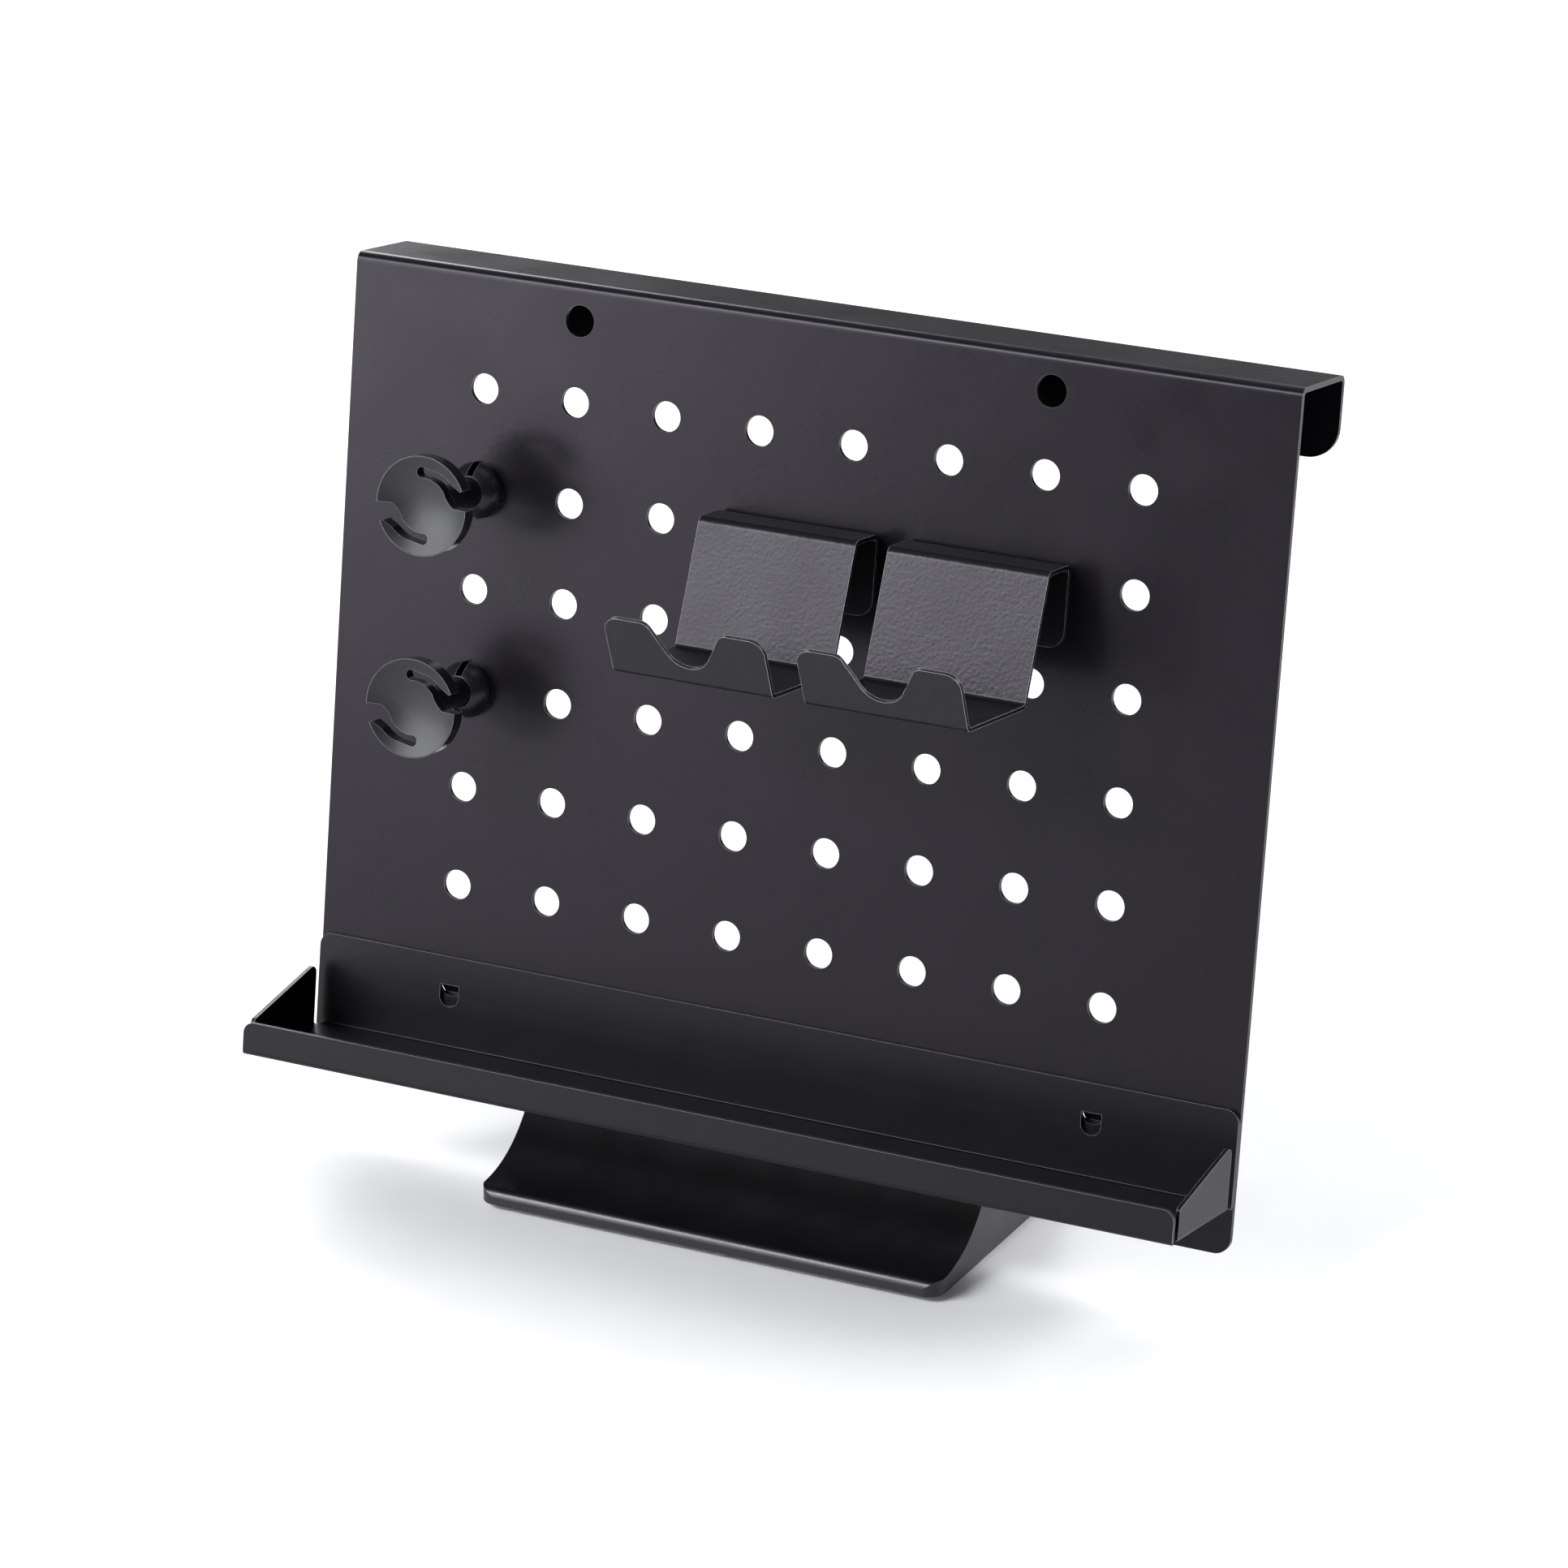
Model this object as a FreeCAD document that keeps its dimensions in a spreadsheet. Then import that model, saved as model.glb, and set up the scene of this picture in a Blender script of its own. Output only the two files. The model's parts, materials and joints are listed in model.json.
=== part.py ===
import FreeCAD, Part

import math
import os

import Sketcher

# A desktop pegboard stand. A bent steel pegboard leans back in the slot of a weighted foot.
# A shelf tray, two device hangers and two cable clips hang in its round holes.
#
# Frames, in millimetres, X to the right, Y to the back, Z up:
#   board frame - origin at the middle of the hole grid, halfway through the sheet;
#                 Z runs up along the leaning board and Y is square to it
#   foot frame  - origin on the desk, straight below the origin of the board frame
#   desk frame  - the part's own frame: origin on the desk, in the middle of the footprint

DIMENSIONS = {
    # pegboard
    "board_width": 300,
    "board_gauge": 1.5,
    "board_top": 110,
    "board_bottom": -140,
    "board_corner_radius": 5,
    "board_bend_radius": 1.2,
    "flange_depth": 31.5,
    "rear_lip_height": 24.5,
    "rear_lip_corner_radius": 9,
    "hole_pitch": 30,
    "hole_diameter": 9,
    "access_hole_spacing": 150,
    "access_hole_height": 99,
    "access_hole_diameter": 9.4,
    "wall_screw_hole_diameter": 5,
    # how the board stands
    "lean_angle": 8.4,
    "grid_height": 155.4,
    "grid_setback": 6.445,
    # bent sheet of the tray and the hangers, and their hook tabs
    "sheet_gauge": 1.2,
    "sheet_gap": 0.1,
    "sheet_bend_radius": 0.5,
    "hook_width": 5.8,
    "hook_cutout_width": 6.3,
    "hook_cutout_depth": 6.7,
    "hook_root": 0.8,
    "hook_seat": 3.33,
    "hook_tip": 6.7,
    "hook_gap": 0.2,
    # tray
    "tray_top": -97,
    "tray_bottom": -126,
    "tray_depth": 44.55,
    "tray_lip_height": 10.3,
    "tray_corner_radius": 4,
    "tray_lip_corner_radius": 3.4,
    "flap_rear": 5.5,
    "flap_front": 41.2,
    "flap_rear_height": 20.2,
    "flap_front_height": 10,
    "flap_top_radius": 2.5,
    "flap_front_radius": 1.5,
    "relief_width": 2.4,
    # hangers, heights measured from the row of holes that they hang in
    "hanger_width": 50,
    "hanger_pitch": 60,
    "hanger_hook_spacing": 30,
    "hanger_row": 45,
    "hanger_plate_drop": 18.5,
    "hanger_plate_corner_radius": 5,
    "hanger_top": 5.9,
    "hanger_shelf_depth": 15.6,
    "hanger_front_run": 10.3,
    "hanger_floor_drop": 30.5,
    "hanger_reach": 63.3,
    "hanger_lip_height": 19.4,
    "hanger_lip_lean": 27.7,
    "hanger_notch_radius": 7.2,
    "hanger_notch_floor": 5.67,
    "hanger_notch_slope": 62,
    "hanger_notch_rounding": 3,
    "hanger_lip_corner_radius": 4.6,
    "hanger_bend_radius": 1.3,
    # cable clips, measured along their own axis from the middle of the sheet
    "clip_column": -105,
    "clip_upper_row": 45,
    "clip_lower_row": -15,
    "clip_disc_diameter": 29.4,
    "clip_disc_front": 35.6,
    "clip_disc_thickness": 5,
    "clip_dish_depth": 1.8,
    "clip_dish_diameter": 28.8,
    "clip_slot_radius": 9.8,
    "clip_slot_width": 3.3,
    "clip_slot_start": 94.5,
    "clip_slot_end": 36,
    "clip_mouth_floor": 0.5,
    "clip_mouth_angle": 25,
    "clip_arm_tip_angle": 39,
    "clip_arm_tip_length": 1.7,
    "clip_skirt_diameter": 16.8,
    "clip_skirt_height": 6.6,
    "clip_skirt_band": 2.2,
    "clip_skirt_rounding": 8,
    "clip_skirt_wall": 1.2,
    "clip_slit_width": 2.2,
    "clip_slit_inner_radius": 4.9,
    "clip_neck_base_diameter": 9.4,
    "clip_neck_diameter": 8,
    "clip_neck_cone_end": 13,
    "clip_stem_diameter": 8.84,
    "clip_barb_diameter": 9.8,
    "clip_barb_gap": 0.25,
    "clip_barb_shoulder": 1,
    "clip_tip_diameter": 7,
    "clip_tip_length": 5,
    "clip_stem_split": 1.8,
    # foot, depths measured from straight below the middle of the hole grid
    "foot_width": 150,
    "foot_front": -55.8,
    "foot_depth": 110,
    "foot_corner_radius": 5,
    "foot_underside": 2,
    "toe_height": 6.7,
    "toe_edge_radius": 2.4,
    "hump_height": 27.2,
    "front_sweep_radius": 34,
    "front_sweep_start": -53,
    "rear_sweep_radius": 70,
    "rear_sweep_start": 37.3,
    "foot_wall": 2.2,
    "foot_rim": 2.5,
    "slot_clearance": 0.15,
    # steel in the foot
    "base_plate_gauge": 2.5,
    "base_plate_clearance": 0.25,
    "bracket_gauge": 3,
    "bracket_width": 120,
    "bracket_top": -93,
    "bracket_corner_radius": 6,
    "bracket_bend_radius": 1.5,
    "bracket_foot_rear": 14,
    # fasteners
    "stud_spacing_x": 60,
    "stud_upper": -103,
    "stud_lower": -121,
    "stud_diameter": 4,
    "stud_head_diameter": 6.5,
    "stud_head_thickness": 1,
    "stud_length": 9,
    "stud_clearance": 0.5,
    "nut_width": 7,
    "nut_thickness": 3.2,
    "thread_clearance": 0.06,
    "bracket_screw_spacing": 90,
    "bracket_screw_front": -5,
    "bracket_screw_rear": 8,
    "bracket_screw_diameter": 4,
    "bracket_screw_head_diameter": 7.6,
    "bracket_screw_head_depth": 1.9,
    "shell_screw_spacing": 132,
    "shell_screw_front": -31,
    "shell_screw_rear": 3,
    "shell_screw_diameter": 3,
    "shell_screw_head_diameter": 5.6,
    "shell_screw_head_depth": 1.4,
    "shell_screw_tip": 10.5,
    "shell_boss_diameter": 8,
    "drive_width": 1,
    "drive_depth": 1,
    # rubber pads
    "pad_diameter": 14,
    "pad_spacing_x": 116,
    "pad_front": -44,
    "pad_rear": 42,
}

HOLE_COLUMNS = 8
HOLE_ROWS_UP = 3
HOLE_ROWS_DOWN = 4

doc = FreeCAD.newDocument("pegboard_stand")
sheet = doc.addObject("Spreadsheet::Sheet", "Dimensions")
for row, (alias, value) in enumerate(DIMENSIONS.items(), start=1):
    sheet.set(f"A{row}", alias)
    sheet.set(f"B{row}", str(value))
    sheet.setAlias(f"B{row}", alias)
doc.recompute()


class Formula:
    """A length or an angle, with the spreadsheet expression that drives it."""

    def __init__(self, value, text):
        self.value = value
        self.text = text

    def __add__(self, other):
        return self.joined("+", other, self.value + number(other))

    def __sub__(self, other):
        return self.joined("-", other, self.value - number(other))

    def __mul__(self, other):
        return self.joined("*", other, self.value * number(other))

    def __truediv__(self, other):
        return self.joined("/", other, self.value / number(other))

    def __neg__(self):
        return self * -1

    def joined(self, sign, other, value):
        return Formula(value, f"({self.text} {sign} {text_of(other)})")


def number(quantity):
    return quantity.value if isinstance(quantity, Formula) else quantity


def text_of(quantity):
    return quantity.text if isinstance(quantity, Formula) else f"({quantity})"


def dim(alias):
    """A cell of the spreadsheet."""
    return Formula(float(sheet.get(alias)), f"Dimensions.{alias}")


def sine(angle):
    return Formula(math.sin(math.radians(angle.value)), f"sin({angle.text} * 1 deg)")


def cosine(angle):
    return Formula(math.cos(math.radians(angle.value)), f"cos({angle.text} * 1 deg)")


def tangent(angle):
    return sine(angle) / cosine(angle)


def bind(target, path, quantity):
    """Drive a property or a sketch constraint from the spreadsheet."""
    target.setExpression(path, text_of(quantity))


def set_size(target, name, quantity):
    setattr(target, name, number(quantity))
    bind(target, name, quantity)


# ---------------------------------------------------------------- sketches and features


def new_body(label):
    body = doc.addObject("PartDesign::Body", label)
    body.Label = label
    return body


def new_sketch(body, name, role, shift=0, origin=(0, 0), turn=None):
    """A sketch on an origin plane, moved along its normal, within it, or turned about its own x axis."""
    plane = next(f for f in body.Origin.OriginFeatures if f.Role == role)
    sketch = body.newObject("Sketcher::SketchObject", name)
    sketch.AttachmentSupport = (plane, [""])
    sketch.MapMode = "FlatFace"
    angle = 0 if turn is None else turn.value
    sketch.AttachmentOffset = FreeCAD.Placement(
        FreeCAD.Vector(number(origin[0]), number(origin[1]), number(shift)),
        FreeCAD.Rotation(FreeCAD.Vector(1, 0, 0), angle),
    )
    for path, quantity in zip("xyz", (origin[0], origin[1], shift)):
        if isinstance(quantity, Formula):
            bind(sketch, f"AttachmentOffset.Base.{path}", quantity)
    if turn is not None:
        bind(sketch, "AttachmentOffset.Rotation.Angle", turn)
    return sketch


def constrain(sketch, kind, *where, size):
    index = sketch.addConstraint(Sketcher.Constraint(kind, *where, number(size)))
    bind(sketch, f"Constraints[{index}]", size)


def fix_point(sketch, geometry, end, x, y):
    """Tie a point of the sketch to its place, measured from the sketch's origin."""
    constrain(sketch, "DistanceX", -1, 1, geometry, end, size=x)
    constrain(sketch, "DistanceY", -1, 1, geometry, end, size=y)


def arc_between(start, end, radius, side):
    """The minor arc from start to end whose centre lies to the left (side 1) or right (side -1)."""
    chord = end - start
    left = FreeCAD.Vector(-chord.y, chord.x, 0).normalize()
    reach = math.sqrt(radius**2 - (chord.Length / 2) ** 2)
    centre = (start + end) * 0.5 + left * (side * reach)
    first, last = (start, end) if side > 0 else (end, start)
    angles = [math.atan2(p.y - centre.y, p.x - centre.x) for p in (first, last)]
    if angles[1] < angles[0]:
        angles[1] += 2 * math.pi
    circle = Part.Circle(centre, FreeCAD.Vector(0, 0, 1), radius)
    return Part.ArcOfCircle(circle, angles[0], angles[1])


def draw_outline(sketch, corners):
    """A closed outline. A corner is (x, y), or (x, y, radius, side) where an arc leads to it."""
    points = [FreeCAD.Vector(number(c[0]), number(c[1]), 0) for c in corners]
    starts, ends = [], []
    for i, corner in enumerate(corners):
        previous = points[i - 1]
        if len(corner) == 2:
            index = sketch.addGeometry(Part.LineSegment(previous, points[i]))
            side = 1
        else:
            radius, side = corner[2], corner[3]
            index = sketch.addGeometry(arc_between(previous, points[i], number(radius), side))
            constrain(sketch, "Radius", index, size=radius)
        starts.append((index, 1 if side > 0 else 2))
        ends.append((index, 2 if side > 0 else 1))
    for i, corner in enumerate(corners):
        sketch.addConstraint(Sketcher.Constraint("Coincident", *ends[i - 1], *starts[i]))
        fix_point(sketch, *ends[i], corner[0], corner[1])


def draw_rectangle(sketch, left, right, bottom, top):
    draw_outline(sketch, [(left, bottom), (right, bottom), (right, top), (left, top)])


def draw_circle(sketch, x, y, diameter):
    centre = FreeCAD.Vector(number(x), number(y), 0)
    circle = Part.Circle(centre, FreeCAD.Vector(0, 0, 1), number(diameter) / 2)
    index = sketch.addGeometry(circle)
    constrain(sketch, "Diameter", index, size=diameter)
    fix_point(sketch, index, 3, x, y)


def pad(sketch, length, name, symmetric=False, reverse=False):
    feature = sketch.getParentGeoFeatureGroup().newObject("PartDesign::Pad", name)
    feature.Profile = sketch
    set_size(feature, "Length", length)
    if symmetric:
        feature.SideType = "Symmetric"
    feature.Reversed = reverse
    doc.recompute()
    return feature


def pocket(sketch, name, length=None, symmetric=False, reverse=False):
    """Cut a sketch away, through everything where no length is given. Nothing cut is an error."""
    body = sketch.getParentGeoFeatureGroup()
    before = body.Shape.Volume
    feature = body.newObject("PartDesign::Pocket", name)
    feature.Profile = sketch
    if length is None:
        feature.Type = "ThroughAll"
    else:
        set_size(feature, "Length", length)
    if symmetric:
        feature.SideType = "Symmetric"
    feature.Reversed = reverse
    doc.recompute()
    if feature.Shape.Volume > before - 0.01:
        raise RuntimeError(f"{name} cuts nothing")
    return feature


def round_edges(body, name, radius, wanted):
    """Fillet the edges of the body's tip that the test picks out."""
    tip = body.Tip
    names = [f"Edge{i}" for i, edge in enumerate(tip.Shape.Edges, start=1) if wanted(edge)]
    if not names:
        raise RuntimeError(f"{name} finds no edge")
    fillet = body.newObject("PartDesign::Fillet", name)
    fillet.Base = (tip, names)
    set_size(fillet, "Radius", radius)
    doc.recompute()


def runs_along(edge, axis):
    """Is this a straight edge parallel to the axis 0, 1 or 2?"""
    if len(edge.Vertexes) != 2 or not isinstance(edge.Curve, Part.Line):
        return False
    span = edge.Vertexes[1].Point - edge.Vertexes[0].Point
    return abs(abs(span[axis]) - span.Length) < 1e-6


def edge_at(axis, places):
    """A test for straight edges along an axis that pass the given places in the other two."""
    others = [i for i in range(3) if i != axis]
    spots = [(number(a), number(b)) for a, b in places]

    def wanted(edge):
        if not runs_along(edge, axis):
            return False
        point = edge.Vertexes[0].Point
        return any(
            math.hypot(point[others[0]] - a, point[others[1]] - b) < 0.01 for a, b in spots
        )

    return wanted


def bend(body, name, outer, inner, gauge, radius):
    """Round the outer and inner corners of sheet-metal bends, given as (y, z) in the profile."""
    round_edges(body, f"{name}_outer", radius + gauge, edge_at(0, outer))
    round_edges(body, f"{name}_inner", radius, edge_at(0, inner))


def place(target, x, y, z, lean=False):
    """Stand an object in the desk frame, upright or leaning with the board."""
    angle = -dim("lean_angle") if lean else Formula(0, "0")
    target.Placement = FreeCAD.Placement(
        FreeCAD.Vector(number(x), number(y), number(z)),
        FreeCAD.Rotation(FreeCAD.Vector(1, 0, 0), angle.value),
    )
    for axis, quantity in zip("xyz", (x, y, z)):
        if isinstance(quantity, Formula):
            bind(target, f"Placement.Base.{axis}", quantity)
    if lean:
        bind(target, "Placement.Rotation.Angle", angle)


lean_cos = cosine(dim("lean_angle"))
lean_sin = sine(dim("lean_angle"))


def place_on_board(target, x=0, z=None):
    """Put an object whose origin is at (x, 0, z) of the board frame in its place."""
    up = Formula(0, "0") if z is None else z
    setback = dim("grid_setback") + up * lean_sin
    height = dim("grid_height") + up * lean_cos
    place(target, x, setback, height, lean=True)


def place_on_foot(target):
    place(target, 0, dim("grid_setback"), 0)


def leaning(y, z):
    """A point of the board frame as (y, z) in the foot frame."""
    return (
        z * lean_sin + y * lean_cos,
        dim("grid_height") + z * lean_cos - y * lean_sin,
    )


def leaning_at_height(y, height):
    """Where the plane at depth y of the board frame passes a height above the desk."""
    up = (height - dim("grid_height") + y * lean_sin) / lean_cos
    return (up * lean_sin + y * lean_cos, height)


# ---------------------------------------------------------------- pegboard


def draw_stud_holes(sketch, diameter):
    for side in (-1, 1):
        for alias in ("stud_upper", "stud_lower"):
            draw_circle(sketch, dim("stud_spacing_x") * (side / 2), dim(alias), diameter)


def make_pegboard_panel():
    body = new_body("pegboard_panel")
    gauge = dim("board_gauge")
    front = -gauge / 2
    back = gauge / 2
    top = dim("board_top")
    lip_back = front + dim("flange_depth")
    lip_bottom = top - dim("rear_lip_height")
    profile = new_sketch(body, "panel_profile", "YZ_Plane")
    draw_outline(
        profile,
        [
            (front, dim("board_bottom")),
            (back, dim("board_bottom")),
            (back, top - gauge),
            (lip_back - gauge, top - gauge),
            (lip_back - gauge, lip_bottom),
            (lip_back, lip_bottom),
            (lip_back, top),
            (front, top),
        ],
    )
    pad(profile, dim("board_width"), "panel_sheet", symmetric=True)
    bend(
        body,
        "panel_bends",
        outer=[(front, top), (lip_back, top)],
        inner=[(back, top - gauge), (lip_back - gauge, top - gauge)],
        gauge=gauge,
        radius=dim("board_bend_radius"),
    )
    sides = [dim("board_width") / 2, -dim("board_width") / 2]
    round_edges(
        body,
        "panel_lower_corners",
        dim("board_corner_radius"),
        edge_at(1, [(x, dim("board_bottom")) for x in sides]),
    )
    round_edges(
        body,
        "rear_lip_corners",
        dim("rear_lip_corner_radius"),
        edge_at(1, [(x, lip_bottom) for x in sides]),
    )
    holes = new_sketch(body, "peg_holes", "XZ_Plane", shift=-back)
    for column in range(HOLE_COLUMNS):
        x = dim("hole_pitch") * (column - (HOLE_COLUMNS - 1) / 2)
        for row in range(-HOLE_ROWS_DOWN, HOLE_ROWS_UP):
            draw_circle(holes, x, dim("hole_pitch") * (row + 0.5), dim("hole_diameter"))
    pocket(holes, "peg_holes_cut", length=gauge, reverse=True)
    access = new_sketch(body, "access_holes", "XZ_Plane", shift=-back)
    screws = new_sketch(body, "wall_screw_holes", "XZ_Plane", shift=-lip_back)
    for side in (-0.5, 0.5):
        x = dim("access_hole_spacing") * side
        draw_circle(access, x, dim("access_hole_height"), dim("access_hole_diameter"))
        draw_circle(screws, x, dim("access_hole_height"), dim("wall_screw_hole_diameter"))
    pocket(access, "access_holes_cut", length=gauge, reverse=True)
    pocket(screws, "wall_screw_holes_cut", length=gauge, reverse=True)
    shanks = new_sketch(body, "stud_holes", "XZ_Plane", shift=-back)
    draw_stud_holes(shanks, dim("stud_diameter") + dim("thread_clearance"))
    pocket(shanks, "stud_holes_cut", length=gauge, reverse=True)
    heads = new_sketch(body, "stud_head_recesses", "XZ_Plane", shift=-front)
    draw_stud_holes(heads, dim("stud_head_diameter") + dim("thread_clearance"))
    pocket(heads, "stud_head_recesses_cut", length=dim("stud_head_thickness"))
    place_on_board(body)
    return body


def make_panel_studs():
    """Four clinch studs, flush with the front of the board, that stick out of its back."""
    body = new_body("panel_studs")
    front = -dim("board_gauge") / 2
    heads = new_sketch(body, "stud_heads", "XZ_Plane", shift=-front)
    draw_stud_holes(heads, dim("stud_head_diameter"))
    pad(heads, dim("stud_head_thickness"), "stud_heads_pad", reverse=True)
    shanks = new_sketch(body, "stud_shanks", "XZ_Plane", shift=-front)
    draw_stud_holes(shanks, dim("stud_diameter"))
    pad(shanks, dim("stud_length"), "stud_shanks_pad", reverse=True)
    place_on_board(body)
    return body


def make_stud_nuts():
    """The hexagon nuts that clamp the bracket to the back of the board."""
    body = new_body("stud_nuts")
    seat = dim("board_gauge") / 2 + dim("bracket_gauge")
    nuts = new_sketch(body, "nut_outline", "XZ_Plane", shift=-seat)
    corner = dim("nut_width") / math.sqrt(3)
    for side in (-1, 1):
        for alias in ("stud_upper", "stud_lower"):
            x = dim("stud_spacing_x") * (side / 2)
            hexagon = []
            for step in range(6):
                turn = math.radians(60 * step)
                hexagon.append((x + corner * math.cos(turn), dim(alias) + corner * math.sin(turn)))
            draw_outline(nuts, hexagon)
    draw_stud_holes(nuts, dim("stud_diameter") + dim("thread_clearance"))
    pad(nuts, dim("nut_thickness"), "nuts_pad", reverse=True)
    place_on_board(body)
    return body


# ---------------------------------------------------------------- hook tabs of bent sheet


def sheet_front():
    """The front face of a plate that hangs against the board."""
    return -dim("board_gauge") / 2 - dim("sheet_gap") - dim("sheet_gauge")


def add_hook(body, name, x, row):
    """A tab cut from the plate on three sides, pressed back through a hole and down behind it."""
    front = sheet_front()
    back = front + dim("sheet_gauge")
    board_back = dim("board_gauge") / 2
    half = dim("hook_cutout_width") / 2
    root = row - dim("hook_root")
    shoulder = root - dim("hook_cutout_depth") + half
    cutout = new_sketch(body, f"{name}_cutout", "XZ_Plane")
    draw_outline(
        cutout,
        [
            (x - half, root),
            (x - half, shoulder),
            (x, shoulder - half, half, 1),
            (x + half, shoulder, half, 1),
            (x + half, root),
        ],
    )
    pocket(cutout, f"{name}_window", length=-front + 1, reverse=True)
    # the tab leaves the plate at 45 degrees and its underside rests on the rim of the hole
    seat = row - dim("hook_seat") + board_back
    rise = dim("sheet_gauge") * math.sqrt(2)
    leg_front = board_back + dim("hook_gap")
    leg_back = leg_front + dim("sheet_gauge")
    tip = row - dim("hook_tip")
    tab = new_sketch(body, f"{name}_profile", "YZ_Plane", shift=x)
    draw_outline(
        tab,
        [
            (front, seat - front),
            (leg_front, seat - leg_front),
            (leg_front, tip),
            (leg_back, tip),
            (leg_back, seat + rise - leg_back),
            (back, seat + rise - back),
            (front, seat + rise - back),
        ],
    )
    pad(tab, dim("hook_width"), f"{name}_tab", symmetric=True)


# ---------------------------------------------------------------- tray


def make_tray():
    body = new_body("tray")
    gauge = dim("sheet_gauge")
    back_front = sheet_front()
    back_back = back_front + gauge
    bottom = dim("tray_bottom")
    lip_front = -dim("board_gauge") / 2 - dim("tray_depth")
    lip_top = bottom + dim("tray_lip_height")
    half_width = dim("board_width") / 2
    profile = new_sketch(body, "tray_profile", "YZ_Plane")
    draw_outline(
        profile,
        [
            (back_back, dim("tray_top")),
            (back_front, dim("tray_top")),
            (back_front, bottom + gauge),
            (lip_front + gauge, bottom + gauge),
            (lip_front + gauge, lip_top),
            (lip_front, lip_top),
            (lip_front, bottom),
            (back_back, bottom),
        ],
    )
    pad(profile, dim("board_width"), "tray_sheet", symmetric=True)
    bend(
        body,
        "tray_bends",
        outer=[(back_back, bottom), (lip_front, bottom)],
        inner=[(back_front, bottom + gauge), (lip_front + gauge, bottom + gauge)],
        gauge=gauge,
        radius=dim("sheet_bend_radius"),
    )
    sides = [half_width, -half_width]
    for name, radius, height in (
        ("tray_back_corners", dim("tray_corner_radius"), dim("tray_top")),
        ("tray_lip_corners", dim("tray_lip_corner_radius"), lip_top),
    ):
        round_edges(body, name, radius, edge_at(1, [(x, height) for x in sides]))
    # the corners of the blank are cut away beside each end flap, so that it can be bent up
    reliefs = new_sketch(body, "flap_reliefs", "XY_Plane", shift=bottom - 1)
    for side in (-1, 1):
        outer = half_width * side + side
        inner = half_width * side - dim("relief_width") * side
        for near, far in (
            (-dim("flap_front"), lip_front + gauge),
            (back_front, -dim("flap_rear")),
        ):
            draw_rectangle(reliefs, inner, outer, far, near)
    pocket(reliefs, "flap_reliefs_cut", length=gauge + 1.7, reverse=True)
    for side, label in ((-1, "left"), (1, "right")):
        middle = half_width * side - gauge * (side / 2)
        flap = new_sketch(body, f"{label}_flap_outline", "YZ_Plane", shift=middle)
        draw_outline(
            flap,
            [
                (-dim("flap_rear"), bottom),
                (-dim("flap_rear"), bottom + dim("flap_rear_height")),
                (-dim("flap_front"), bottom + dim("flap_front_height")),
                (-dim("flap_front"), bottom),
            ],
        )
        pad(flap, gauge, f"{label}_flap", symmetric=True)
    for name, radius, y, height in (
        ("flap_tops", "flap_top_radius", "flap_rear", "flap_rear_height"),
        ("flap_fronts", "flap_front_radius", "flap_front", "flap_front_height"),
    ):
        round_edges(body, name, dim(radius), edge_at(0, [(-dim(y), bottom + dim(height))]))
    round_edges(
        body,
        "flap_bends_outer",
        dim("sheet_bend_radius") + gauge * 0.9,
        edge_at(1, [(x, bottom) for x in sides]),
    )
    round_edges(
        body,
        "flap_bends_inner",
        dim("sheet_bend_radius"),
        edge_at(1, [(half_width * s - gauge * s, bottom + gauge) for s in (-1, 1)]),
    )
    outer_column = dim("hole_pitch") * ((HOLE_COLUMNS - 1) / 2)
    lowest_row = dim("hole_pitch") * (0.5 - HOLE_ROWS_DOWN)
    add_hook(body, "left_hook", -outer_column, lowest_row)
    add_hook(body, "right_hook", outer_column, lowest_row)
    place_on_board(body)
    return body


# ---------------------------------------------------------------- hangers


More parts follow.
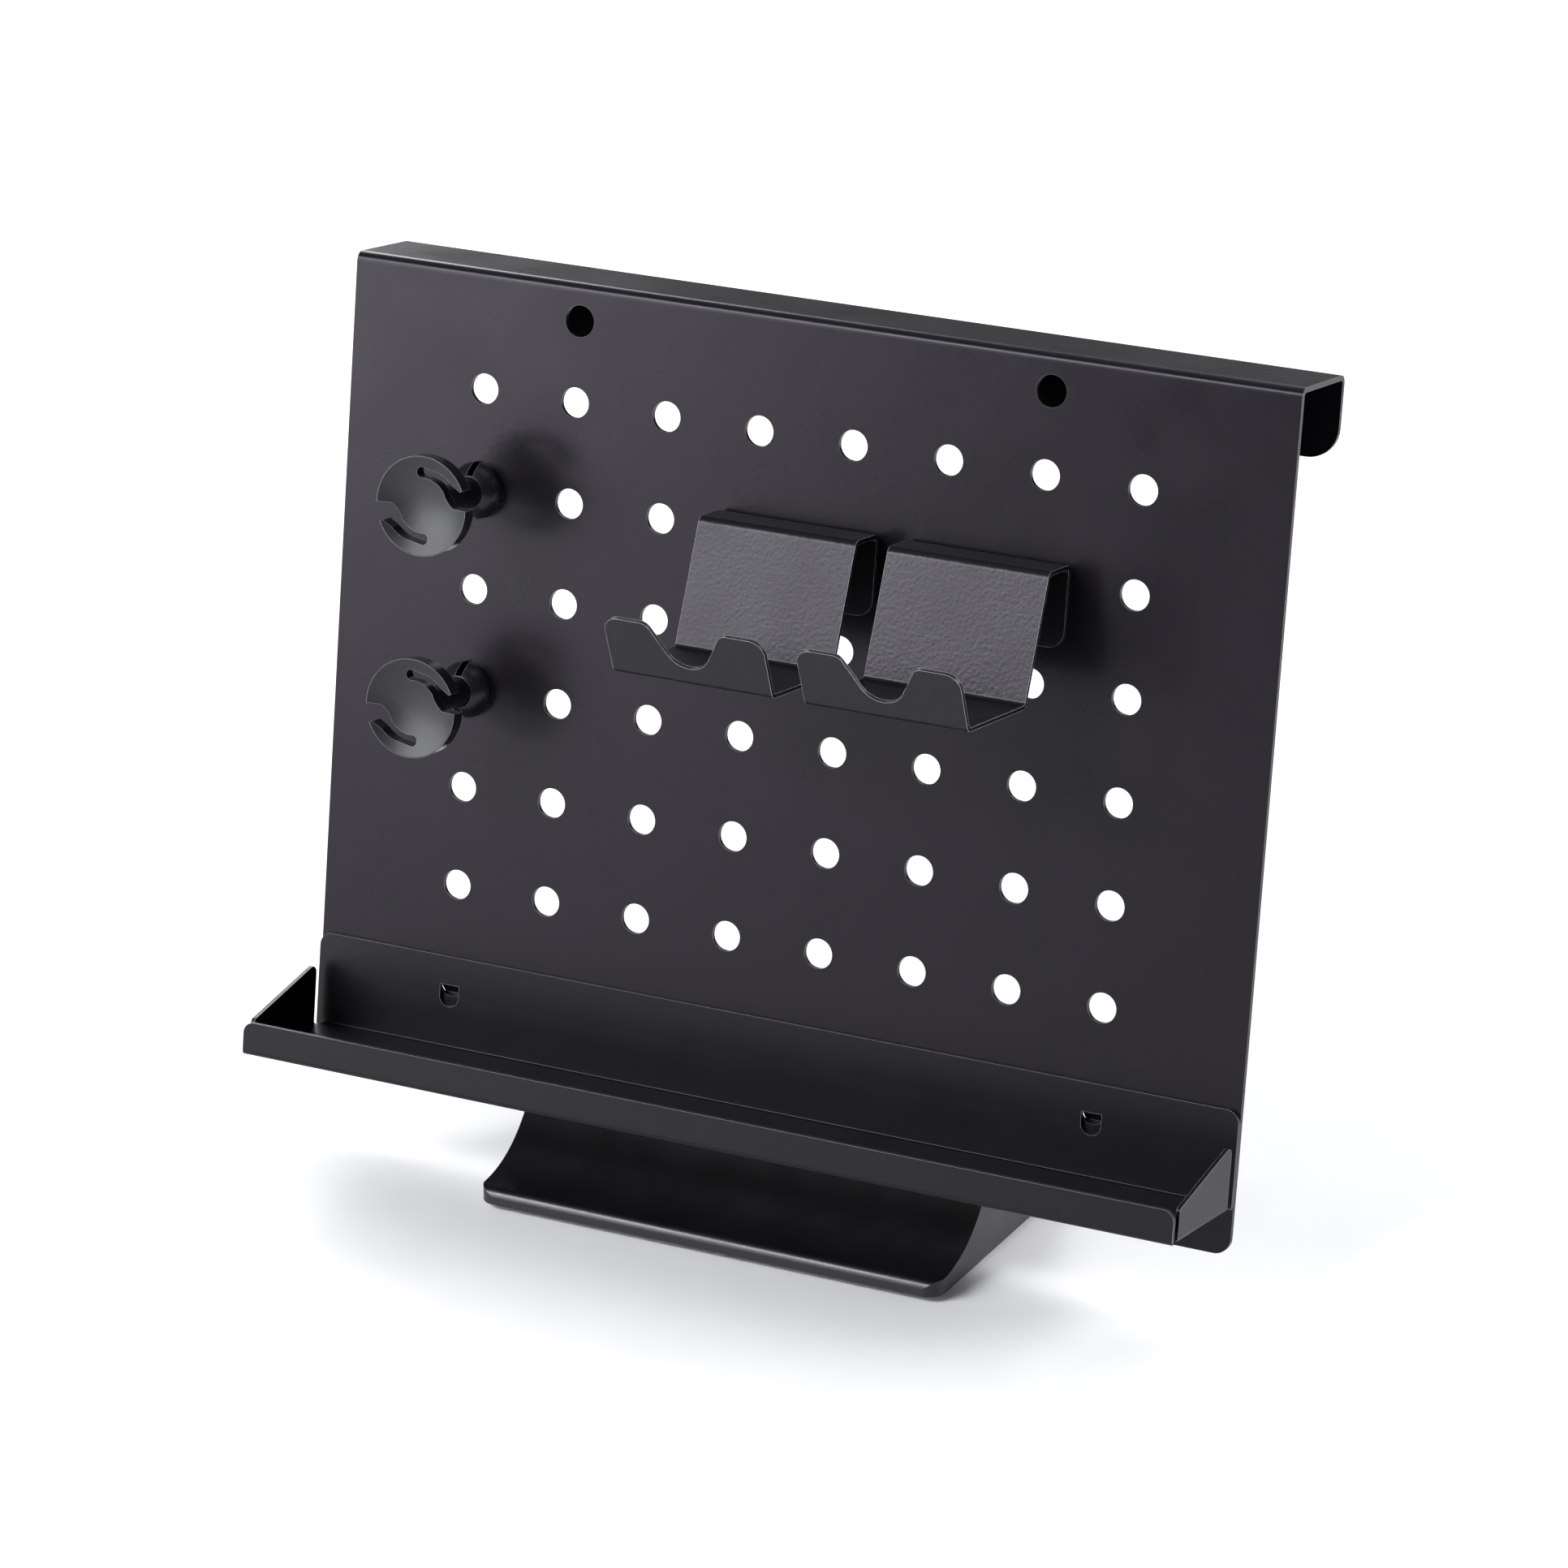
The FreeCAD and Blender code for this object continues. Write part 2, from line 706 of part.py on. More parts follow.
def make_hanger(label, x):
    """A bent hanger: plate, shelf, sloping front, floor, and a lip with a notch for the cable."""
    body = new_body(label)
    gauge = dim("sheet_gauge")
    plate_front = sheet_front()
    plate_back = plate_front + gauge
    top = dim("hanger_top")
    shelf_front = -dim("hanger_shelf_depth")
    floor_top = -dim("hanger_floor_drop")
    floor_bottom = floor_top - gauge
    # the front slopes: how far it runs forward for each millimetre that it drops
    slope = dim("hanger_front_run") / (top - floor_top)
    slant_gauge = dim("sheet_gauge") * math.hypot(1, slope.value)
    lip_lean = dim("hanger_lip_lean")
    lip_start = -dim("hanger_reach")
    lip_height = dim("hanger_lip_height")
    lip_top = (lip_start - sine(lip_lean) * lip_height, floor_bottom + cosine(lip_lean) * lip_height)
    lip_inner_top = (lip_top[0] + cosine(lip_lean) * gauge, lip_top[1] + sine(lip_lean) * gauge)
    inner_foot = lip_inner_top[0] + tangent(lip_lean) * (lip_inner_top[1] - floor_top)
    heel = shelf_front - slope * (top - floor_bottom) + slant_gauge
    toe = shelf_front - slope * (top - floor_top)
    underside_front = shelf_front - slope * gauge + slant_gauge
    profile = new_sketch(body, f"{label}_profile", "YZ_Plane")
    draw_outline(
        profile,
        [
            (plate_back, -dim("hanger_plate_drop")),
            (plate_back, top),
            (shelf_front, top),
            (toe, floor_top),
            (inner_foot, floor_top),
            lip_inner_top,
            lip_top,
            (lip_start, floor_bottom),
            (heel, floor_bottom),
            (underside_front, top - gauge),
            (plate_front, top - gauge),
            (plate_front, -dim("hanger_plate_drop")),
        ],
    )
    pad(profile, dim("hanger_width"), f"{label}_sheet", symmetric=True)
    bend(
        body,
        f"{label}_bends",
        outer=[
            (plate_back, top),
            (shelf_front, top),
            (heel, floor_bottom),
            (lip_start, floor_bottom),
        ],
        inner=[
            (plate_front, top - gauge),
            (underside_front, top - gauge),
            (toe, floor_top),
            (inner_foot, floor_top),
        ],
        gauge=gauge,
        radius=dim("hanger_bend_radius"),
    )
    sides = [dim("hanger_width") / 2, -dim("hanger_width") / 2]
    round_edges(
        body,
        f"{label}_plate_corners",
        dim("hanger_plate_corner_radius"),
        edge_at(1, [(side, -dim("hanger_plate_drop")) for side in sides]),
    )
    # the notch is drawn on the outer face of the lip, with y up along the lip
    radius = dim("hanger_notch_radius")
    slant = dim("hanger_notch_slope")
    centre = dim("hanger_notch_floor") + radius
    side_x = radius * sine(slant)
    side_y = centre - radius * cosine(slant)
    above = lip_height + 2
    mouth_x = side_x + (above - side_y) / tangent(slant)
    notch = new_sketch(
        body,
        f"{label}_notch",
        "XZ_Plane",
        shift=-lip_start,
        origin=(0, floor_bottom),
        turn=lip_lean,
    )
    draw_outline(
        notch,
        [
            (mouth_x, above),
            (-mouth_x, above),
            (-side_x, side_y),
            (Formula(0, "0"), centre - radius, radius, 1),
            (side_x, side_y, radius, 1),
        ],
    )
    pocket(notch, f"{label}_notch_cut", length=gauge * 4, symmetric=True)

    def lip_corner_at(distance):
        """A test for the edges through the lip's thickness at its top, a distance from the middle."""

        def wanted(edge):
            ends = sorted((vertex.Point for vertex in edge.Vertexes), key=lambda end: end.y)
            return len(ends) == 2 and all(
                abs(abs(end.x) - number(distance)) < 0.02
                and math.hypot(end.y - number(spot[0]), end.z - number(spot[1])) < 0.02
                for end, spot in zip(ends, (lip_top, lip_inner_top))
            )

        return wanted

    notch_corner = side_x + (lip_height - side_y) / tangent(slant)
    round_edges(
        body,
        f"{label}_notch_rounding",
        dim("hanger_notch_rounding"),
        lip_corner_at(notch_corner),
    )
    round_edges(
        body,
        f"{label}_lip_corners",
        dim("hanger_lip_corner_radius"),
        lip_corner_at(dim("hanger_width") / 2),
    )
    for side, name in ((-0.5, "left"), (0.5, "right")):
        hook_x = dim("hanger_hook_spacing") * side
        add_hook(body, f"{label}_{name}_hook", hook_x, Formula(0, "0"))
    place_on_board(body, x, dim("hanger_row"))
    return body


# ---------------------------------------------------------------- cable clips


def make_clip(label, row):
    """A moulded clip: a slotted, dished disc on a neck, a sprung skirt and a split barbed stem."""
    body = new_body(label)
    skirt_seat = -dim("board_gauge") / 2 - dim("sheet_gap")
    skirt_top = skirt_seat - dim("clip_skirt_height")
    skirt_band = skirt_seat - dim("clip_skirt_band")
    skirt_radius = dim("clip_skirt_diameter") / 2
    neck_base = dim("clip_neck_base_diameter") / 2
    neck_radius = dim("clip_neck_diameter") / 2
    stem_radius = dim("clip_stem_diameter") / 2
    barb_radius = dim("clip_barb_diameter") / 2
    barb_front = dim("board_gauge") / 2 + dim("clip_barb_gap")
    barb_back = barb_front + dim("clip_barb_shoulder")
    stem_end = barb_back + dim("clip_tip_length")
    disc_front = -dim("clip_disc_front")
    disc_back = disc_front + dim("clip_disc_thickness")
    disc_radius = dim("clip_disc_diameter") / 2
    wall = dim("clip_skirt_wall")
    dome_radius = dim("clip_skirt_rounding")
    profile = new_sketch(body, f"{label}_profile", "XY_Plane")
    draw_outline(
        profile,
        [
            (Formula(0, "0"), disc_front),
            (disc_radius, disc_front),
            (disc_radius, disc_back),
            (neck_radius, disc_back),
            (neck_radius, -dim("clip_neck_cone_end")),
            (neck_base, skirt_top),
            (skirt_radius, skirt_band, dome_radius, 1),
            (skirt_radius, skirt_seat),
            (skirt_radius - wall, skirt_seat),
            (skirt_radius - wall, skirt_band),
            (stem_radius, skirt_top + wall, dome_radius - wall, -1),
            (stem_radius, barb_front),
            (barb_radius, barb_front),
            (barb_radius, barb_back),
            (dim("clip_tip_diameter") / 2, stem_end),
            (Formula(0, "0"), stem_end),
        ],
    )
    turned = body.newObject("PartDesign::Revolution", f"{label}_turned")
    turned.Profile = profile
    turned.ReferenceAxis = (profile, ["V_Axis"])
    turned.Angle = 360
    doc.recompute()
    # the dish in the front face is part of a large sphere
    depth = dim("clip_dish_depth")
    half_dish = dim("clip_dish_diameter") / 2
    dish_radius = (half_dish * half_dish + depth * depth) / (depth * 2)
    dish = body.newObject("PartDesign::SubtractiveSphere", f"{label}_dish")
    set_size(dish, "Radius", dish_radius)
    dish.AttachmentSupport = None
    dish.MapMode = "Deactivated"
    dish.Placement = FreeCAD.Placement(
        FreeCAD.Vector(0, (disc_front + depth - dish_radius).value, 0), FreeCAD.Rotation()
    )
    bind(dish, "Placement.Base.y", disc_front + depth - dish_radius)
    doc.recompute()
    # two slots, half a turn apart, follow the rim and open at it
    middle = dim("clip_slot_radius")
    half_slot = dim("clip_slot_width") / 2
    outer = middle + half_slot
    inner = middle - half_slot
    start = dim("clip_slot_start")
    end = dim("clip_slot_end")
    half_way = (start + end) / 2
    clear = disc_radius + 1
    mouth_floor = dim("clip_mouth_floor")
    mouth_angle = dim("clip_mouth_angle")
    tip_angle = dim("clip_arm_tip_angle")
    tip_start = outer + 0.6
    tip_end = tip_start + dim("clip_arm_tip_length")
    slots = new_sketch(body, f"{label}_slots", "XZ_Plane", shift=-disc_front)
    for side in (1, -1):
        draw_outline(
            slots,
            [
                (cosine(start) * outer * side, sine(start) * outer * side),
                (cosine(start) * inner * side, sine(start) * inner * side, half_slot * 1.001, 1),
                (cosine(half_way) * inner * side, sine(half_way) * inner * side, inner, -1),
                (cosine(end) * inner * side, sine(end) * inner * side, inner, -1),
                ((inner + 2) * side, mouth_floor * side, inner, 1),
                (clear * side, mouth_floor * side),
                (cosine(mouth_angle) * clear * side, sine(mouth_angle) * clear * side),
                (cosine(mouth_angle) * tip_end * side, sine(mouth_angle) * tip_end * side),
                (cosine(tip_angle) * tip_start * side, sine(tip_angle) * tip_start * side),
                (cosine(half_way) * outer * side, sine(half_way) * outer * side, outer, 1),
            ],
        )
    pocket(slots, f"{label}_slots_cut", length=dim("clip_disc_thickness"))
    # the skirt is slit above and below, and the stem is split so that it can close up
    slit_half = dim("clip_slit_width") / 2
    slit_inner = dim("clip_slit_inner_radius")
    slit_outer = skirt_radius + 1
    slits = new_sketch(body, f"{label}_slits", "XZ_Plane", shift=-skirt_seat)
    draw_rectangle(slits, -slit_half, slit_half, slit_inner, slit_outer)
    draw_rectangle(slits, -slit_half, slit_half, -slit_outer, -slit_inner)
    slit_depth = dim("clip_skirt_height") + 0.3
    pocket(slits, f"{label}_slits_cut", length=slit_depth, reverse=True)
    split = new_sketch(body, f"{label}_split", "XY_Plane")
    half_split = dim("clip_stem_split") / 2
    draw_rectangle(split, -half_split, half_split, skirt_seat, stem_end + 1)
    pocket(split, f"{label}_split_cut", length=dim("clip_barb_diameter") + 1, symmetric=True)
    place_on_board(body, dim("clip_column"), row)
    return body


# ---------------------------------------------------------------- foot


def draw_sweep_cuts(body, name, radius, start, floor, end):
    """Cut the hollow sweep between the hump and a toe: a round trough and the flat beyond it."""
    trough = new_sketch(body, f"{name}_sweep", "YZ_Plane")
    draw_circle(trough, start, floor + radius, radius * 2)
    pocket(trough, f"{name}_sweep_cut", symmetric=True)
    flat = new_sketch(body, f"{name}_toe", "YZ_Plane")
    above = dim("hump_height") + 20
    draw_rectangle(flat, start, end, floor, above)
    pocket(flat, f"{name}_toe_cut", symmetric=True)


def draw_four(sketch, spacing, front, rear, diameter):
    """Four circles: left and right, at a front and a rear depth."""
    for side in (-0.5, 0.5):
        for depth in (front, rear):
            draw_circle(sketch, spacing * side, depth, diameter)


def make_shell_block():
    """The outside of the foot's moulding, with the slot for the board and the pilot holes."""
    body = new_body("shell_block")
    half = dim("foot_width") / 2
    front = dim("foot_front")
    rear = front + dim("foot_depth")
    underside = dim("foot_underside")
    hump = dim("hump_height")
    toe = dim("toe_height")
    footprint = new_sketch(body, "shell_footprint", "XY_Plane", shift=underside)
    draw_rectangle(footprint, -half, half, front, rear)
    pad(footprint, hump - underside, "shell_block_pad")
    beyond = 20
    draw_sweep_cuts(
        body,
        "front",
        dim("front_sweep_radius"),
        dim("front_sweep_start"),
        toe,
        front - beyond,
    )
    draw_sweep_cuts(
        body, "rear", dim("rear_sweep_radius"), dim("rear_sweep_start"), toe, rear + beyond
    )
    sharp = edge_at(0, [(front, toe), (rear, toe)])
    round_edges(body, "toe_edges", dim("toe_edge_radius"), sharp)
    # the upright corners are trimmed last, so that the rounding of the toes stays off the sides
    corners = new_sketch(body, "shell_corners", "XY_Plane", shift=underside)
    radius = dim("foot_corner_radius")
    for side in (1, -1):
        for end, inward in ((front, 1), (rear, -1)):
            near_x = (half - radius) * side
            far_x = (half + 1) * side
            flank = end + radius * inward
            outside = end - inward
            draw_outline(
                corners,
                [
                    (near_x, end),
                    (half * side, flank, radius, side * inward),
                    (far_x, flank),
                    (far_x, outside),
                    (near_x, outside),
                ],
            )
    pocket(corners, "shell_corners_cut", length=hump, reverse=True)
    gap = dim("slot_clearance")
    slot_front = -dim("board_gauge") / 2 - gap
    slot_back = dim("board_gauge") / 2 + dim("bracket_gauge") + gap
    floor = dim("board_bottom")
    slot = new_sketch(body, "board_slot", "YZ_Plane")
    draw_outline(
        slot,
        [
            leaning(slot_front, floor),
            leaning(slot_back, floor),
            leaning(slot_back, floor + 40),
            leaning(slot_front, floor + 40),
        ],
    )
    pocket(slot, "board_slot_cut", symmetric=True)
    leg_front = dim("board_gauge") / 2 - gap
    passage = new_sketch(body, "bracket_passage", "YZ_Plane")
    draw_outline(
        passage,
        [
            leaning_at_height(leg_front, underside),
            leaning_at_height(slot_back, underside),
            leaning(slot_back, floor + 1),
            leaning(leg_front, floor + 1),
        ],
    )
    pocket(passage, "bracket_passage_cut", dim("bracket_width") + gap * 4, symmetric=True)
    pilots = new_sketch(body, "pilot_holes", "XY_Plane", shift=underside)
    draw_four(
        pilots,
        dim("shell_screw_spacing"),
        dim("shell_screw_front"),
        dim("shell_screw_rear"),
        dim("shell_screw_diameter") + dim("thread_clearance"),
    )
    pilot_depth = dim("shell_screw_tip") - underside + 0.5
    pocket(pilots, "pilot_holes_cut", length=pilot_depth, reverse=True)
    return body


def make_shell_core():
    """The hollow of the foot: the recess for the base plate, and the room above it."""
    body = new_body("shell_core")
    rim = dim("foot_rim")
    wall = dim("foot_wall")
    half = dim("foot_width") / 2 - rim
    front = dim("foot_front") + rim
    rear = dim("foot_front") + dim("foot_depth") - rim
    underside = dim("foot_underside")
    plate_top = underside + dim("base_plate_gauge")
    roof = dim("hump_height") - wall
    footprint = new_sketch(body, "core_footprint", "XY_Plane", shift=underside)
    draw_rectangle(footprint, -half, half, front, rear)
    pad(footprint, roof - underside, "core_pad")
    corners = [(x, y) for x in (half, -half) for y in (front, rear)]
    round_edges(body, "core_corners", dim("foot_corner_radius") - rim, edge_at(2, corners))
    beyond = 20
    draw_sweep_cuts(
        body,
        "core_front",
        dim("front_sweep_radius") + wall,
        dim("front_sweep_start"),
        plate_top,
        front - beyond,
    )
    draw_sweep_cuts(
        body,
        "core_rear",
        dim("rear_sweep_radius") + wall,
        dim("rear_sweep_start"),
        plate_top,
        rear + beyond,
    )
    around = dim("slot_clearance") + wall
    slot_front = -dim("board_gauge") / 2 - around
    slot_back = dim("board_gauge") / 2 + dim("bracket_gauge") + around
    floor = dim("board_bottom") - wall
    walls = new_sketch(body, "slot_walls", "YZ_Plane")
    draw_outline(
        walls,
        [
            leaning(slot_front, floor),
            leaning(slot_back, floor),
            leaning(slot_back, floor + 40),
            leaning(slot_front, floor + 40),
        ],
    )
    pocket(walls, "slot_walls_cut", symmetric=True)
    bosses = new_sketch(body, "bosses", "XY_Plane", shift=plate_top)
    draw_four(
        bosses,
        dim("shell_screw_spacing"),
        dim("shell_screw_front"),
        dim("shell_screw_rear"),
        dim("shell_boss_diameter"),
    )
    pocket(bosses, "bosses_cut", length=dim("hump_height"), reverse=True)
    return body


def make_base_shell():
    shell = doc.addObject("Part::Cut", "base_shell")
    shell.Base = make_shell_block()
    shell.Tool = make_shell_core()
    shell.Label = "base_shell"
    doc.recompute()
    place_on_foot(shell)
    return shell


def make_base_plate():
    """The steel plate that closes the foot and weighs it down."""
    body = new_body("base_plate")
    inset = dim("foot_rim") + dim("base_plate_clearance")
    half = dim("foot_width") / 2 - inset
    front = dim("foot_front") + inset
    rear = dim("foot_front") + dim("foot_depth") - inset
    underside = dim("foot_underside")
    outline = new_sketch(body, "plate_outline", "XY_Plane", shift=underside)
    draw_rectangle(outline, -half, half, front, rear)
    pad(outline, dim("base_plate_gauge"), "plate_pad")
    corners = [(x, y) for x in (half, -half) for y in (front, rear)]
    round_edges(body, "plate_corners", dim("foot_corner_radius") - inset, edge_at(2, corners))
    for kind in ("bracket", "shell"):
        shank = dim(f"{kind}_screw_diameter") + dim("thread_clearance") * 2
        holes = new_sketch(body, f"{kind}_screw_holes", "XY_Plane", shift=underside)
        draw_four(
            holes,
            dim(f"{kind}_screw_spacing"),
            dim(f"{kind}_screw_front"),
            dim(f"{kind}_screw_rear"),
            shank,
        )
        pocket(holes, f"{kind}_screw_holes_cut", reverse=True)
        sinks = new_sketch(body, f"{kind}_screw_sinks", "XY_Plane", shift=underside)
        draw_four(
            sinks,
            dim(f"{kind}_screw_spacing"),
            dim(f"{kind}_screw_front"),
            dim(f"{kind}_screw_rear"),
            dim(f"{kind}_screw_head_diameter") + dim("thread_clearance") * 2,
        )
        depth = dim(f"{kind}_screw_head_depth")
        pocket(sinks, f"{kind}_screw_sinks_cut", length=depth, reverse=True)
    place_on_foot(body)
    return body


def make_upright_bracket():
    """The steel angle that stands on the base plate and carries the board."""
    body = new_body("upright_bracket")
    face = dim("board_gauge") / 2
    back = face + dim("bracket_gauge")
    low = dim("foot_underside") + dim("base_plate_gauge")
    high = low + dim("bracket_gauge")
    outer_bend = leaning_at_height(face, low)
    inner_bend = leaning_at_height(back, high)
    top = leaning(back, dim("bracket_top"))
    rear = dim("bracket_foot_rear")
    profile = new_sketch(body, "bracket_profile", "YZ_Plane")
    draw_outline(
        profile,
        [
            leaning(face, dim("bracket_top")),
            outer_bend,
            (rear, low),
            (rear, high),
            inner_bend,
            top,
        ],
    )
    pad(profile, dim("bracket_width"), "bracket_sheet", symmetric=True)
    bend(
        body,
        "bracket_bend",
        outer=[outer_bend],
        inner=[inner_bend],
        gauge=dim("bracket_gauge"),
        radius=dim("bracket_bend_radius"),
    )
    half = dim("bracket_width").value / 2
    upper = top[1].value - 1

    def top_corner(edge):
        points = [vertex.Point for vertex in edge.Vertexes]
        return (
            len(points) == 2
            and all(abs(abs(p.x) - half) < 0.01 and p.z > upper for p in points)
            and (points[1] - points[0]).Length < dim("bracket_gauge").value + 0.1
        )

    round_edges(body, "bracket_top_corners", dim("bracket_corner_radius"), top_corner)
    studs = new_sketch(
        body,
        "stud_clearance_holes",
        "XZ_Plane",
        origin=(0, dim("grid_height")),
        turn=-dim("lean_angle"),
    )
    draw_stud_holes(studs, dim("stud_diameter") + dim("stud_clearance"))
    pocket(studs, "stud_clearance_holes_cut", symmetric=True)
    threads = new_sketch(body, "threaded_holes", "XY_Plane", shift=low)
    draw_four(
        threads,
        dim("bracket_screw_spacing"),
        dim("bracket_screw_front"),
        dim("bracket_screw_rear"),
        dim("bracket_screw_diameter") + dim("thread_clearance"),
    )
    pocket(threads, "threaded_holes_cut", length=dim("bracket_gauge"), reverse=True)
    place_on_foot(body)
    return body


def make_screws(label, kind, tip):
    """Four flat-head screws under the foot, with a slot in each head."""
    body = new_body(label)
    underside = dim("foot_underside")
    spacing = dim(f"{kind}_screw_spacing")
    front = dim(f"{kind}_screw_front")
    rear = dim(f"{kind}_screw_rear")
    head = dim(f"{kind}_screw_head_diameter")
    heads = new_sketch(body, f"{label}_heads", "XY_Plane", shift=underside)
    draw_four(heads, spacing, front, rear, head)
    pad(heads, dim(f"{kind}_screw_head_depth"), f"{label}_heads_pad")
    shanks = new_sketch(body, f"{label}_shanks", "XY_Plane", shift=underside)
    draw_four(shanks, spacing, front, rear, dim(f"{kind}_screw_diameter"))
    pad(shanks, tip - underside, f"{label}_shanks_pad")
    slots = new_sketch(body, f"{label}_slots", "XY_Plane", shift=underside)
    for side in (-0.5, 0.5):
        for depth in (front, rear):
            x = spacing * side
            draw_rectangle(
                slots,
                x - head * 0.3,
                x + head * 0.3,
                depth - dim("drive_width") / 2,
                depth + dim("drive_width") / 2,
            )
    pocket(slots, f"{label}_slots_cut", length=dim("drive_depth"), reverse=True)
    place_on_foot(body)
    return body


def make_pad(label, x, y):
    body = new_body(label)
    outline = new_sketch(body, f"{label}_outline", "XY_Plane")
    draw_circle(outline, x, y, dim("pad_diameter"))
    pad(outline, dim("foot_underside"), f"{label}_disc")
    place_on_foot(body)
    return body


# ---------------------------------------------------------------- the whole stand

bracket_screw_tip = dim("foot_underside") + dim("base_plate_gauge") + dim("bracket_gauge")
pieces = [
    make_pegboard_panel(),
    make_panel_studs(),
    make_stud_nuts(),
    make_tray(),
    make_hanger("hanger_left", Formula(0, "0")),
    make_hanger("hanger_right", dim("hanger_pitch")),
    make_clip("cable_clip_upper", dim("clip_upper_row")),
    make_clip("cable_clip_lower", dim("clip_lower_row")),
    make_base_shell(),
    make_base_plate(),
    make_upright_bracket(),
    make_screws("bracket_screws", "bracket", bracket_screw_tip),
    make_screws("shell_screws", "shell", dim("shell_screw_tip")),
]
for depth_name, depth_alias in (("front", "pad_front"), ("rear", "pad_rear")):
    for side_name, side_sign in (("left", -0.5), ("right", 0.5)):
        pad_x = dim("pad_spacing_x") * side_sign
        pieces.append(make_pad(f"foot_pad_{depth_name}_{side_name}", pad_x, dim(depth_alias)))

doc.recompute()
for item in doc.Objects:
    if "Invalid" in item.State or "Error" in item.State:
        raise RuntimeError(f"{item.Label} did not compute: {item.State}")
for piece in pieces:
    if piece.Shape.isNull() or not piece.Shape.isValid():
        raise RuntimeError(f"{piece.Label} has no valid shape")

os.makedirs("parts", exist_ok=True)
for piece in pieces:
    piece.Shape.exportStep(f"parts/{piece.Label}.step")

whole = Part.makeCompound([piece.Shape for piece in pieces]).BoundBox
print(f"{len(pieces)} pieces, X {whole.XMin:.2f} to {whole.XMax:.2f}")
print(f"Y {whole.YMin:.3f} to {whole.YMax:.3f}, middle {(whole.YMin + whole.YMax) / 2:.3f}")
print(f"Z {whole.ZMin:.2f} to {whole.ZMax:.2f}")
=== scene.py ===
import json

import bpy
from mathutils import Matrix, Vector

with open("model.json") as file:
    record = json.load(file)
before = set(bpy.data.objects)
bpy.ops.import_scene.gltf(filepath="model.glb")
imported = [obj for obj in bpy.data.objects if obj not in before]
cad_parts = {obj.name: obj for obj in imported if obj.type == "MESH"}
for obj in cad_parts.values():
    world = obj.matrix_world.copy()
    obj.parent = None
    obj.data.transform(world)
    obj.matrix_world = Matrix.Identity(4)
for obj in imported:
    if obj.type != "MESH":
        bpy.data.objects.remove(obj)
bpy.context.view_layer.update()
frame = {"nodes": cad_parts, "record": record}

# Looks for a desktop pegboard stand. Lengths are in metres, in the frame of the CAD model:
# the origin is on the desk, X is to the right, Y to the back and Z up.

# the photograph's viewpoint
CAMERA_POSITION = (0.7813, -1.55366, 0.7956)
CAMERA_DIRECTION = (-0.4190, 0.8346, -0.3576)
CAMERA_LENS_MM = 147.9
CAMERA_SENSOR_MM = 36.0
CAMERA_NEAR = 0.05
CAMERA_FAR = 50.0

# light: every softbox faces the middle of the stand
CENTRE = (0.0, 0.0, 0.14)
WHITE = (1.0, 1.0, 1.0)
COOL = (0.95, 0.96, 1.0)
WORLD_STRENGTH = 0.09

FLOOR_HALF = 6.0
FLOOR_COLOUR = (0.85, 0.85, 0.85)
FLOOR_SPECK_SHADE = 0.985
FLOOR_ROUGHNESS = 0.6

# the coat's reflections are slightly violet
COAT_REFLECTION = (0.96, 0.92, 1.0, 1.0)

ZINC_DARK = (0.42, 0.43, 0.45)
ZINC_LIGHT = (0.60, 0.61, 0.62)
RUBBER_CLEAN = (0.014, 0.014, 0.014)
RUBBER_DUSTY = (0.035, 0.034, 0.032)

# patterns in the surfaces, as features in a metre
COAT_CLOUDS = 14.0
COAT_SMEARS = 45.0
COAT_FLECKS = 2600.0
COAT_GRAINS = 3500.0
PLASTIC_CLOUDS = 30.0
PLASTIC_SMEARS = 80.0
PLASTIC_SWELLS = 120.0
ZINC_CLOUDS = 400.0
ZINC_SMEARS = 900.0
ZINC_MARKS = 1200.0
RUBBER_DUST = 300.0
RUBBER_SMEARS = 500.0
RUBBER_GRAINS = 1800.0
FLOOR_SPECKS = 60.0

# how deep the finest patterns are
COAT_GRAIN_DEPTH = 0.000006
PLASTIC_SWELL_DEPTH = 0.00003
ZINC_MARK_DEPTH = 0.00001
RUBBER_GRAIN_DEPTH = 0.00003
FLOOR_SPECK_DEPTH = 0.00001

# how wide the painted highlight along sharp edges is
COAT_EDGE_HIGHLIGHT_WIDTH = 0.00022
PLASTIC_EDGE_HIGHLIGHT_WIDTH = 0.0002

# how far the roughness strays either way
COAT_UNEVENNESS = 0.06
PLASTIC_UNEVENNESS = 0.07
FLOOR_UNEVENNESS = 0.03

# ---------------------------------------------------------------- material building


